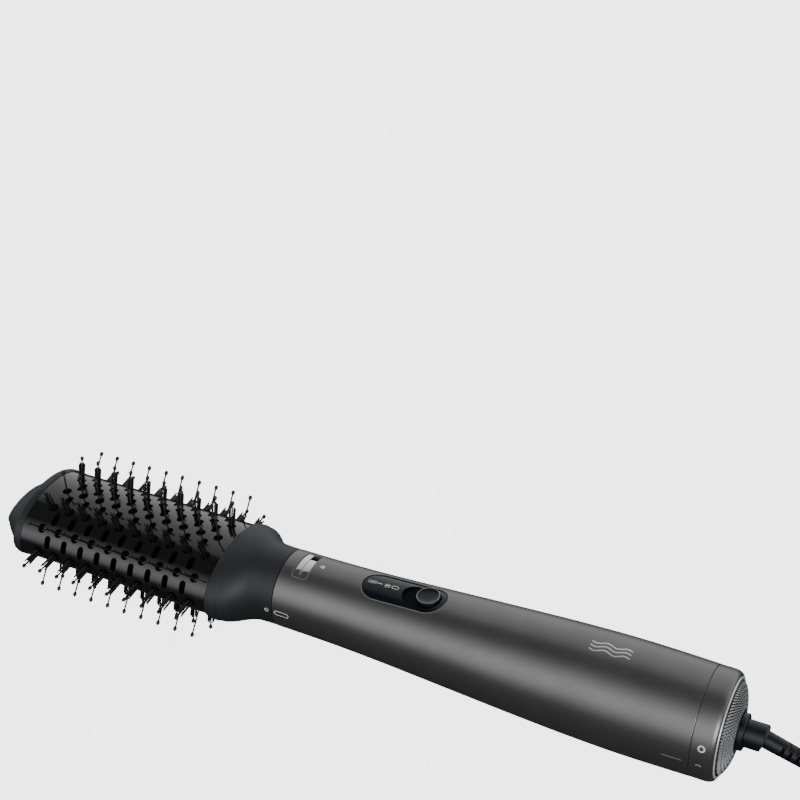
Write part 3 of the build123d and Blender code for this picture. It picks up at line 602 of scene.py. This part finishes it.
def make_switch():
    plate = handle_skin("switch_face", -128, -175, -PLATE_DROP, 2.2, segments=256)
    outline = prism("outline", stadium(PLATE_LENGTH, PLATE_WIDTH), ALONG, ACROSS,
                    np.array((PLATE_X, 0, 0)), 10, 30)
    cut(plate, outline, "INTERSECT")
    track = prism("track", stadium(KNOB_TRAVEL + TRACK_WIDTH, TRACK_WIDTH), KNOB_ALONG, (0, -1, 0),
                  KNOB_ORIGIN + KNOB_ALONG * KNOB_TRAVEL / 2, -RECESS, 6)
    cut(plate, track)
    surface_normals(plate, handle_normal)
    dress(plate, "gloss", "handle", "switch_plate", slot="gloss_black")
    # painted shade: a near-black floor in the knob's track, for the shade in the recess
    floor = prism("track_floor", stadium(KNOB_TRAVEL + TRACK_WIDTH - 0.1, TRACK_WIDTH - 0.1),
                  KNOB_ALONG, (0, -1, 0), KNOB_ORIGIN + KNOB_ALONG * KNOB_TRAVEL / 2,
                  -RECESS - 0.02, -RECESS + 0.04)
    dress(floor, "void", "handle", slot="gloss_black")
    knob_profile = [(0, -1.35), (5.3, -1.35), (5.5, -1.1), (5.5, 0.75), (5.38, 1.02), (5.14, 1.15),
                    (4.88, 1.1), (4.62, 0.8), (4.2, 0.6), (2.4, 0.34), (0, 0.26)]
    segments = 96
    across = np.array((0, 1, 0))
    points = []
    for radius, height in knob_profile:
        for turn in np.linspace(0, 2 * np.pi, segments, endpoint=False):
            arm = KNOB_ALONG * math.cos(turn) + across * math.sin(turn)
            points.append(KNOB_ORIGIN + arm * radius + KNOB_NORMAL * height)
    knob = new_object("slide_knob", to_row(points), grid_faces(len(knob_profile), segments, False, True))
    bm = bmesh.new()
    bm.from_mesh(knob.data)
    bmesh.ops.remove_doubles(bm, verts=bm.verts, dist=1e-7)
    bmesh.ops.recalc_face_normals(bm, faces=bm.faces)
    bm.to_mesh(knob.data)
    bm.free()
    soften(knob, 50)
    dress(knob, "satin", "switch_knob", "switch_knob", slot="satin_black")
    # painted highlight: a pale ring on the knob's lip, for the light its edge catches
    ring = []
    for turn in np.linspace(0, 2 * np.pi, segments, endpoint=False):
        arm = KNOB_ALONG * math.cos(turn) + across * math.sin(turn)
        for bend in np.linspace(0, 2 * np.pi, 8, endpoint=False):
            ring.append(KNOB_ORIGIN + arm * (5.14 + 0.2 * math.cos(bend))
                        + KNOB_NORMAL * (1.08 + 0.13 * math.sin(bend)))
    ring = outward(new_object("knob_ring", to_row(ring), grid_faces(segments, 8, True, True)))
    dress(ring, "edge_highlight", "switch_knob", slot="satin_black")


make_switch()


# ---- brush head -------------------------------------------------------------
BARREL_START, BARREL_END = -241.7, -347.9
HALF_WIDTH, HALF_HEIGHT, TAPER = 28.05, 17.13, 0.017
ROWS, TUFTS, FIRST_TUFT, TUFT_PITCH = 12, 10, -336.95, 9.707
PIN_HEIGHT, STRAND_HEIGHT, STRANDS = 13.0, 9.3, 5
TIP_X = -366.2


def oval_angles(count):
    """Ellipse angles from the flat top, evenly spread along the oval's outline."""
    fine = np.linspace(0, 2 * np.pi, 7201)
    rate = np.hypot(HALF_WIDTH * np.cos(fine), HALF_HEIGHT * np.sin(fine))
    length = np.concatenate([[0], np.cumsum((rate[1:] + rate[:-1]) / 2)])
    return np.interp(np.arange(count) / count * length[-1], length, fine)


def barrel_oval(x, inset=0.0):
    shrink = 1 - TAPER * (BARREL_START - x) / (BARREL_START - BARREL_END)
    return HALF_WIDTH * shrink - inset, HALF_HEIGHT * shrink - inset


def oval_ring(x, half_width, half_height, angles):
    return [(x, -half_width * math.sin(a), half_height * math.cos(a)) for a in angles]


def seat(x, share):
    """Point on the barrel and its outward normal, in mm on the handle's axis."""
    angle = oval_angles(ROWS * 2)[int(round(share * 2)) % (ROWS * 2)]
    width, height = barrel_oval(x)
    normal = np.array((0, -math.sin(angle) / width, math.cos(angle) / height))
    point = np.array((x, -width * math.sin(angle), height * math.cos(angle)))
    return point, normal / np.linalg.norm(normal)


def oval_normal(points):
    local = (points - np.array(RIM)) / MM @ np.array([AXIS, SIDE, UP]).T
    normals = np.column_stack([np.full(len(local), -0.004), local[:, 1] / HALF_WIDTH ** 2,
                               local[:, 2] / HALF_HEIGHT ** 2])
    normals[:, 0] *= np.linalg.norm(normals[:, 1:], axis=1)
    normals /= np.linalg.norm(normals, axis=1)[:, None]
    return normals @ np.array([AXIS, SIDE, UP])


def lofted_oval(name, sections, segments=256):
    """Closed skin over oval sections (x, half width, half height), ends filled."""
    angles = oval_angles(segments)
    points = [p for x, wide, high in sections for p in oval_ring(x, wide, high, angles)]
    faces = grid_faces(len(sections), segments, False, True)
    last = (len(sections) - 1) * segments
    faces += [tuple(range(segments))[::-1], tuple(range(last, last + segments))]
    return soften(outward(new_object(name, to_row(points), faces)), 40)


def make_barrel():
    segments, stations = 360, 72
    angles = oval_angles(segments)
    wall = 1.0
    xs = np.linspace(BARREL_START + 3, BARREL_END, stations)
    points = [p for x in xs for p in oval_ring(x, *barrel_oval(x), angles)]
    points += [p for x in xs[::-1] for p in oval_ring(x, *barrel_oval(x, wall), angles)]
    faces = grid_faces(2 * stations, segments, True, True)
    barrel = outward(new_object("barrel_skin", to_row(points), faces))
    cutters = []
    hole = [(2.3 * math.cos(a), 2.3 * math.sin(a)) for a in np.linspace(0, 2 * np.pi, 28, endpoint=False)]
    vent = [(v, u) for u, v in stadium(6.5, 3.2, 12)]
    for row in range(ROWS):
        for tuft in range(TUFTS):
            point, normal = seat(FIRST_TUFT + TUFT_PITCH * tuft, row)
            cutters.append(prism("hole", hole, ALONG, np.cross(normal, ALONG), point, -3, 3))
        for gap in range(TUFTS - 1):
            point, normal = seat(FIRST_TUFT + TUFT_PITCH * (gap + 0.5), row + 0.5)
            cutters.append(prism("vent", vent, ALONG, np.cross(normal, ALONG), point, -3, 3))
    cut(barrel, join("holes", cutters))
    surface_normals(barrel, oval_normal)
    dress(barrel, "ceramic", "brush_head", "barrel_shell", slot="ceramic_black")
    # painted shade: a near-black sheet under the holes, for the shade inside the barrel
    depths, coarse = np.linspace(BARREL_START - 4, BARREL_END + 2, 12), angles[::4]
    shade_sheet = [p for x in depths for p in oval_ring(x, *barrel_oval(x, 3.4), coarse)]
    shade_sheet += [p for x in depths[::-1] for p in oval_ring(x, *barrel_oval(x, 3.8), coarse)]
    faces = grid_faces(2 * len(depths), len(coarse), True, True)
    shade_sheet = outward(new_object("barrel_shade_sheet", to_row(shade_sheet), faces))
    dress(shade_sheet, "void", "brush_head", slot="inner_plastic")


make_barrel()


def make_collar():
    stations = [(-211.5, 18.55, 18.55), (-219.0, 18.7, 18.6), (-225.0, 20.6, 18.8), (-230.0, 25.4, 19.0),
                (-234.0, 28.3, 19.0), (-238.0, 29.4, 18.8), (-241.7, 29.3, 18.4)]
    flare = curve_through([(x, w) for x, w, _ in stations])
    crease = -236.0

    def wide(x):
        """Half width: the flare, then a straight lip after a soft crease."""
        return flare(x) - 0.45 * math.exp(-((x - crease) / 1.1) ** 2)

    high = curve_through([(x, h) for x, _, h in stations])
    xs = np.linspace(-212.0, -240.9, 60)
    edge = 0.5
    sections = [(-211.5, wide(-212) - 0.45, high(-212) - 0.45),
                (-211.65, wide(-212) - 0.15, high(-212) - 0.15)]
    sections += [(x, wide(x), high(x)) for x in xs]
    sections += [(-241.4, wide(-241) - 0.25, high(-241) - 0.25),
                 (BARREL_START, wide(-241) - 0.7, high(-241) - 0.7),
                 (BARREL_START + edge, HALF_WIDTH + 0.08, HALF_HEIGHT + 0.08),
                 (-238.6, HALF_WIDTH, HALF_HEIGHT)]
    sections += [(x, wide(x) - 2.0, high(x) - 2.0) for x in np.linspace(-238.0, -211.6, 24)]
    segments = 256
    angles = oval_angles(segments)
    points = [p for x, w, h in sections for p in oval_ring(x, w, h, angles)]
    faces = grid_faces(len(sections), segments, True, True)
    collar = outward(new_object("collar_skin", to_row(points), faces))
    soften(collar, 40)
    dress(collar, "charcoal", "brush_head", "head_collar", slot="soft_charcoal")


make_collar()


def make_end_cap():
    wide, high = barrel_oval(BARREL_END)
    band = [(BARREL_END + 3.4, wide - 1.2, high - 1.2), (BARREL_END + 0.1, wide - 1.2, high - 1.2),
            (BARREL_END, wide + 0.2, high + 0.2), (BARREL_END - 0.4, wide + 0.55, high + 0.55),
            (BARREL_END - 3.0, wide + 0.6, high + 0.6), (BARREL_END - 4.2, wide + 0.2, high + 0.2),
            (BARREL_END - 4.9, wide - 0.9, high - 0.9)]
    nose_wide = curve_through([(-352.8, wide - 1.8), (-358.0, 21.6), (-363.4, 16.6), (TIP_X, 13.2)])
    nose_high = curve_through([(-352.8, high - 1.4), (-358.0, 11.0), (-363.4, 6.8), (TIP_X, 4.4)])
    nose = [(x, nose_wide(x), nose_high(x)) for x in np.linspace(-353.2, -364.6, 16)]
    rounding = [(-364.6 - 1.5 * math.sin(a), nose_wide(-364.6) - 2.0 * (1 - math.cos(a)),
                 nose_high(-364.6) - 2.0 * (1 - math.cos(a))) for a in np.linspace(0.2, math.pi / 2, 7)]
    cap = lofted_oval("end_cap_skin", band + nose + rounding)
    dress(cap, "charcoal", "brush_head", "end_cap", slot="soft_charcoal")


make_end_cap()


def rod(start, end, radius, sides, tip=0.0):
    """Vertices and faces of a thin rod, slightly rounded at its tip."""
    start, end = np.array(start, float), np.array(end, float)
    along = (end - start) / np.linalg.norm(end - start)
    first = np.cross(along, (0.3, 0.9, 0.1))
    first /= np.linalg.norm(first)
    second = np.cross(along, first)
    rings = [(start, radius), (end - along * radius * 0.5, radius), (end, radius * (1 - 0.5 + tip))]
    points, faces = [], []
    for centre, r in rings:
        for turn in np.linspace(0, 2 * np.pi, sides, endpoint=False):
            points.append(centre + r * (first * math.cos(turn) + second * math.sin(turn)))
    faces = grid_faces(len(rings), sides, False, True)
    faces.append(tuple(range(2 * sides, 3 * sides)))
    faces.append(tuple(range(sides))[::-1])
    return points, faces


def ball(centre, along, radius, length, sides=12, rings=8):
    """Elongated ball at a pin's tip."""
    along = np.array(along) / np.linalg.norm(along)
    first = np.cross(along, (0.3, 0.9, 0.1))
    first /= np.linalg.norm(first)
    second = np.cross(along, first)
    points = []
    for ring in range(rings + 1):
        a = math.pi * (ring + 0.02) / (rings + 0.04)
        for turn in np.linspace(0, 2 * np.pi, sides, endpoint=False):
            r = radius * math.sin(a)
            points.append(np.array(centre) - along * length / 2 * math.cos(a)
                          + r * (first * math.cos(turn) + second * math.sin(turn)))
    faces = grid_faces(rings + 1, sides, False, True)
    faces += [tuple(range(sides))[::-1], tuple(range(rings * sides, (rings + 1) * sides))]
    return points, faces


def add_to(store, made):
    points, faces = made
    offset = len(store[0])
    store[0].extend(points)
    store[1].extend([tuple(i + offset for i in face) for face in faces])


def make_bristles():
    """Twelve strips: pins alone and pins in tufts of flat-ended strands take turns."""
    for row in range(ROWS):
        store = ([], [])
        for tuft in range(TUFTS):
            x = FIRST_TUFT + TUFT_PITCH * tuft
            point, normal = seat(x, row)
            across = np.cross(normal, ALONG)
            lean = np.array(ALONG) * random.uniform(-0.012, 0.012) + across * random.uniform(-0.012, 0.012)
            along = normal + lean
            along /= np.linalg.norm(along)
            # boss inside the hole, below the surface
            add_to(store, rod(point - normal * 2.2, point - normal * 1.3, 1.9, 24))
            add_to(store, rod(point - normal * 1.4, point + along * (PIN_HEIGHT - 1.4), 0.41, 12))
            add_to(store, ball(point + along * (PIN_HEIGHT - 1.15), along, 0.98, 2.5))
            for strand in range(STRANDS if row % 2 else 0):
                turn = 2 * math.pi * (strand / STRANDS + 0.02 * random.uniform(-1, 1)) + 0.31
                arm = np.array(ALONG) * math.cos(turn) + across * math.sin(turn)
                foot = point + arm * 1.15 - normal * 1.4
                top = (point + arm * random.uniform(1.35, 1.5)
                       + along * (STRAND_HEIGHT * random.uniform(0.975, 1.0)))
                add_to(store, rod(foot, top, 0.41, 10, tip=0.35))
        low, _ = seat(FIRST_TUFT - 3.5, row)
        high, normal = seat(FIRST_TUFT + TUFT_PITCH * (TUFTS - 1) + 3.5, row)
        add_to(store, rod(low - normal * 2.4, high - normal * 2.4, 0.8, 12))
        strip = new_object(f"bristles_{row + 1:02d}", to_row(store[0]), store[1])
        soften(outward(strip), 50)
        dress(strip, "nylon", "brush_head", f"bristle_strip_{row + 1:02d}", slot="bristle_nylon")


make_bristles()
make_filter_cap()
make_grille()


# ---- printed marks ----------------------------------------------------------
def ribbon(points, width, closed=False):
    """Flat outline of a stroke through 2-D points: left side, then right side."""
    points = np.array(points, float)
    n = len(points)
    before = np.roll(points, 1, 0) if closed else np.vstack([points[:1], points[:-1]])
    after = np.roll(points, -1, 0) if closed else np.vstack([points[1:], points[-1:]])
    heading = after - before
    heading /= np.maximum(np.linalg.norm(heading, axis=1), 1e-9)[:, None]
    offset = np.column_stack([-heading[:, 1], heading[:, 0]]) * width / 2
    faces = [(i, (i + 1) % n, n + (i + 1) % n, n + i) for i in range(n if closed else n - 1)]
    return np.vstack([points + offset, points - offset]), faces


def printed(name, strokes, centre_x, angle, radius_at, lift, body, material="print", slot="gloss_black"):
    """Strokes drawn in mm (along the axis, round the handle) laid on a round surface."""
    thickness = 0.02
    points, faces = [], []
    for stroke, width, closed in strokes:
        flat, quads = ribbon(stroke, width, closed)
        offset, n = len(points), len(flat)
        for level in (lift + thickness, lift - 0.02):
            for u, v in flat:
                x = centre_x + u
                r = radius_at(x)
                phi = math.radians(angle) + v / r
                points.append((x, -(r + level) * math.sin(phi), (r + level) * math.cos(phi)))
        half = n // 2
        for a, b, c, d in quads:
            faces.append((offset + a, offset + b, offset + c, offset + d))
            faces.append((offset + n + d, offset + n + c, offset + n + b, offset + n + a))
            faces.append((offset + b, offset + a, offset + n + a, offset + n + b))
            faces.append((offset + d, offset + c, offset + n + c, offset + n + d))
        if not closed:
            for i, j in ((0, half), (half - 1, 2 * half - 1)):
                faces.append((offset + i, offset + j, offset + n + j, offset + n + i))
    piece = outward(new_object(name, to_row(points), faces))
    soften(piece, 40)
    return dress(piece, material, body, slot=slot)


def circle(radius, centre=(0, 0), squeeze=1.0, steps=32):
    return [(centre[0] + radius * math.cos(a), centre[1] + squeeze * radius * math.sin(a))
            for a in np.linspace(0, 2 * np.pi, steps, endpoint=False)]


def wave(length, height, offset, cycles=1.5, steps=24):
    return [(length * (k / steps - 0.5), offset + height * math.sin(2 * math.pi * cycles * k / steps))
            for k in range(steps + 1)]


def make_marks():
    round_handle = handle_radius
    # on the switch plate, from the knob to the tip: off, cold, low and high heat
    zero = [(stadium(3.3, 1.9, 12), 0.3, True)]
    arms = [([(-1.6 * math.cos(a), -1.6 * math.sin(a)), (1.6 * math.cos(a), 1.6 * math.sin(a))], 0.3, False)
            for a in (math.pi / 2, math.pi / 6, -math.pi / 6)]
    arms += [([(1.15 * math.cos(a - 0.35), 1.15 * math.sin(a - 0.35)), (0.8 * math.cos(a), 0.8 * math.sin(a)),
               (1.15 * math.cos(a + 0.35), 1.15 * math.sin(a + 0.35))], 0.2, False)
             for a in np.linspace(math.pi / 6, 2 * math.pi + math.pi / 6, 6, endpoint=False)]
    dash = [([(-1.3, 0), (1.3, 0)], 0.42, False)]
    waves = [(wave(4.2, 0.12, offset, cycles=1.0), 0.22, False) for offset in (-0.75, 0.0, 0.75)]
    for name, strokes, x in (("off", zero, -156.3), ("cold", arms, -160.2), ("low", dash, -164.0),
                             ("high", waves, -167.7)):
        printed("icon_" + name, strokes, x, -2.5, round_handle, -PLATE_DROP, "handle")
    shackle = [(-0.35 - 0.75 * math.cos(a), 0.75 * math.sin(a)) for a in np.linspace(-1.4, 1.4, 14)]
    lock = [([(0.45, v) for v in np.linspace(-0.95, 0.95, 9)], 1.5, False), (shackle, 0.26, False)]
    printed("icon_lock", lock, -193.6, -1.5, round_handle, 0, "handle", slot="handle_metallic")
    pill = stadium(7.4, 2.2, 12)
    printed("mark_pill", [(pill, 0.34, True)], -206.0, 88, round_handle, 0, "handle", slot="handle_metallic")
    neck = lambda x: 18.65
    printed("mark_ring", [(circle(0.8), 0.4, True)], -213.9, 88, neck, 0, "brush_head", slot="soft_charcoal")
    printed("mark_open", [(circle(1.3), 0.62, True)], -5.4, 72.3, cap_radius, 0, "filter_cap",
            slot="handle_metallic")
    moon = [(1.3 * math.sin(a), 0.3 - 0.9 * math.cos(a)) for a in np.linspace(-1.2, 1.2, 14)]
    printed("mark_closed", [(moon, 0.6, False)], -5.7, 94, cap_radius, 0, "filter_cap", material="faint",
            slot="handle_metallic")
    breeze = [(wave(18.0, 0.7, offset, cycles=2.0, steps=60), 0.62, False) for offset in (-2.2, 0, 2.2)]
    printed("airflow_mark", breeze, -53.2, 3.5, round_handle, 0, "handle", material="silver",
            slot="handle_metallic")
    printed("turn_line", [([(-4.4, 0), (4.4, 0)], 0.3, False)], -17.3, 93, round_handle, 0, "handle",
            material="faint", slot="handle_metallic")
    # painted highlights: pale rims round the switch plate and the catch slot, for the light their edges catch
    long_side, round_side = LATCH_REAR - LATCH_FRONT, 2 * math.radians(LATCH_ANGLE) * 18.75
    half_long, half_round = long_side / 2, round_side / 2
    slot = []
    for u, v, start in ((1, 1, 0), (-1, 1, 90), (-1, -1, 180), (1, -1, 270)):
        slot += corner_arc((u * (half_long - 1.4), v * (half_round - 1.4)), 1.52, start, start + 90, 8)
        if start in (90, 270):
            # straight side after this corner
            slot += [(u * (half_long + 0.12), v * y) for y in np.linspace(1, -1, 14) * (half_round - 1.8)]
    printed("catch_rim", [(slot, 0.3, True)], (LATCH_REAR + LATCH_FRONT) / 2, 0, round_handle, 0, "handle",
            material="edge_highlight", slot="handle_metallic")
    rim = stadium(PLATE_LENGTH + 0.9, PLATE_WIDTH + 0.9, 28)
    printed("switch_rim", [(rim, 0.34, True)], PLATE_X, 0, round_handle, 0, "handle", material="edge_highlight",
            slot="handle_metallic")


make_marks()


# ---- catch ------------------------------------------------------------------
def arc_piece(name, x_rear, x_front, outer, inner, start, end, ease=0.45):
    """Curved bar round the handle's axis, its long edges eased."""
    profile = [(x_rear, inner), (x_rear, outer - ease)]
    profile += corner_arc((x_rear - ease, outer - ease), ease, 0, 90, 6)
    profile += corner_arc((x_front + ease, outer - ease), ease, 90, 180, 6)
    profile += [(x_front, inner)]
    turns = np.radians(np.linspace(start, end, 40))
    points = [(x, -r * math.sin(t), r * math.cos(t)) for t in turns for x, r in profile]
    faces = grid_faces(len(turns), len(profile), False, True)
    last = (len(turns) - 1) * len(profile)
    faces += [tuple(range(len(profile)))[::-1], tuple(range(last, last + len(profile)))]
    piece = outward(new_object(name, to_row(points), faces))
    return soften(piece, 35)


def make_catch():
    """Fixed bright frame on the tip side, turning slider beside it, dark floor under both."""
    step, top = (LATCH_REAR + LATCH_FRONT) / 2 - 0.4, 18.45
    trim = arc_piece("catch_frame", step - 0.2, LATCH_FRONT + 0.15, top, 16.6, -26.6, 26.6)
    dress(trim, "chrome", "handle", "catch_trim", slot="chrome")
    catch = arc_piece("catch_slider", LATCH_REAR - 0.3, step + 0.1, top, 16.0, -10.0, 26.0)
    dress(catch, "chrome", "release_catch", "release_catch", slot="chrome")
    floor = arc_piece("catch_floor", LATCH_REAR + 0.2, step + 0.1, 16.35, 16.12, -30, 30, ease=0.05)
    dress(floor, "inner", "handle", slot="inner_plastic")


make_catch()


# ---- materials of the CAD pieces that stay ----------------------------------
CAD_FINISH = {
    "rear_frame": "inner", "gland_flange": "cord", "fan_duct": "inner", "motor_can": "steel",
    "motor_mount_rear": "rubber", "motor_mount_front": "rubber", "slide_switch": "inner",
    "circuit_board": "board", "mica_sleeve": "mica", "mica_cross": "mica", "heating_coils": "wire",
    "thermostat": "steel", "thermal_fuse": "steel", "heater_carrier_rear": "inner",
    "heater_carrier_front": "inner", "outlet_spigot": "inner", "outlet_grille": "inner",
    "catch_spring": "steel", "cord_tie": "strap", "plug_body": "cord", "plug_pins": "nickel",
    "filter_mesh": "inner",
    "swivel_body": "cord", "swivel_clip": "steel", "strain_relief": "cord", "motor_shaft": "steel",
    # head_core takes the painted shade black
    "impeller": "white_nylon", "head_sleeve": "inner", "head_core": "void",
}
for node, material in CAD_FINISH.items():
    part = frame["nodes"][node]
    part.data.materials.clear()
    part.data.materials.append(materials[material])
    soften(part, 30)


# ---- table and light --------------------------------------------------------
TABLE_GLOW = 3.4             # keeps the table pale behind the dark brush


def make_stage():
    bpy.ops.mesh.primitive_plane_add(size=40, location=(0, 0, -0.0002))
    floor = bpy.context.object
    floor.name = "table"
    material, tree, surface = shader("pale_table", (0.93, 0.93, 0.93), 0.7, specular=0.2)
    mottled(tree, surface, grain(tree, 12), (0.925, 0.925, 0.925), (0.935, 0.935, 0.935))
    surface.inputs["Emission Color"].default_value = (1, 1, 1, 1)
    surface.inputs["Emission Strength"].default_value = TABLE_GLOW
    floor.data.materials.append(material)
    floor.visible_glossy = False
    floor.visible_diffuse = False


def area_light(name, location, target, width, height, power):
    data = bpy.data.lights.new(name, "AREA")
    data.shape = "RECTANGLE"
    data.size, data.size_y = width, height
    data.energy = power
    light = bpy.data.objects.new(name, data)
    light.location = location
    light.rotation_euler = (Vector(target) - Vector(location)).to_track_quat("-Z", "Y").to_euler()
    light.visible_camera = False
    bpy.context.scene.collection.objects.link(light)


def make_light():
    """Studio of long soft boxes along the brush: brightness by the angle round its length,
    from straight down behind it, over its top, to straight down in front of it."""
    world = bpy.data.worlds.new("studio")
    world.use_nodes = True
    tree = world.node_tree
    place = tree.nodes.new("ShaderNodeTexCoord")
    split = tree.nodes.new("ShaderNodeSeparateXYZ")
    flip = tree.nodes.new("ShaderNodeMath")
    flip.operation = "MULTIPLY"
    flip.inputs[1].default_value = -1.0
    around = tree.nodes.new("ShaderNodeMath")
    around.operation = "ARCTAN2"
    spread = tree.nodes.new("ShaderNodeMapRange")
    spread.inputs["From Min"].default_value = -math.pi
    spread.inputs["From Max"].default_value = math.pi
    ramp = tree.nodes.new("ShaderNodeValToRGB")
    brightest = 1.7
    stops = [(-180, 0.03), (-104, 0.03), (-94, 1.0), (-70, 1.05), (-45, 0.8), (-19, 0.48), (-13, 0.06),
             (18, 0.06), (34, 0.6), (60, brightest), (78, 1.3), (92, 0.5), (104, 0.04), (180, 0.03)]
    elements = ramp.color_ramp.elements
    while len(elements) < len(stops):
        elements.new(0.5)
    for element, (angle, level) in zip(elements, stops):
        element.position = (angle + 180) / 360
        element.color = (*[level / brightest] * 3, 1)
    tree.links.new(place.outputs["Generated"], split.inputs["Vector"])
    tree.links.new(split.outputs["Y"], flip.inputs[0])
    tree.links.new(flip.outputs["Value"], around.inputs[0])
    tree.links.new(split.outputs["Z"], around.inputs[1])
    tree.links.new(around.outputs["Value"], spread.inputs["Value"])
    tree.links.new(spread.outputs["Result"], ramp.inputs["Fac"])
    tree.links.new(ramp.outputs["Color"], tree.nodes["Background"].inputs["Color"])
    tree.nodes["Background"].inputs["Strength"].default_value = brightest
    bpy.context.scene.world = world
    area_light("side_box", (1.1, -0.7, 0.35), (0.15, 0, 0.02), 0.5, 0.5, 6)


make_stage()
make_light()
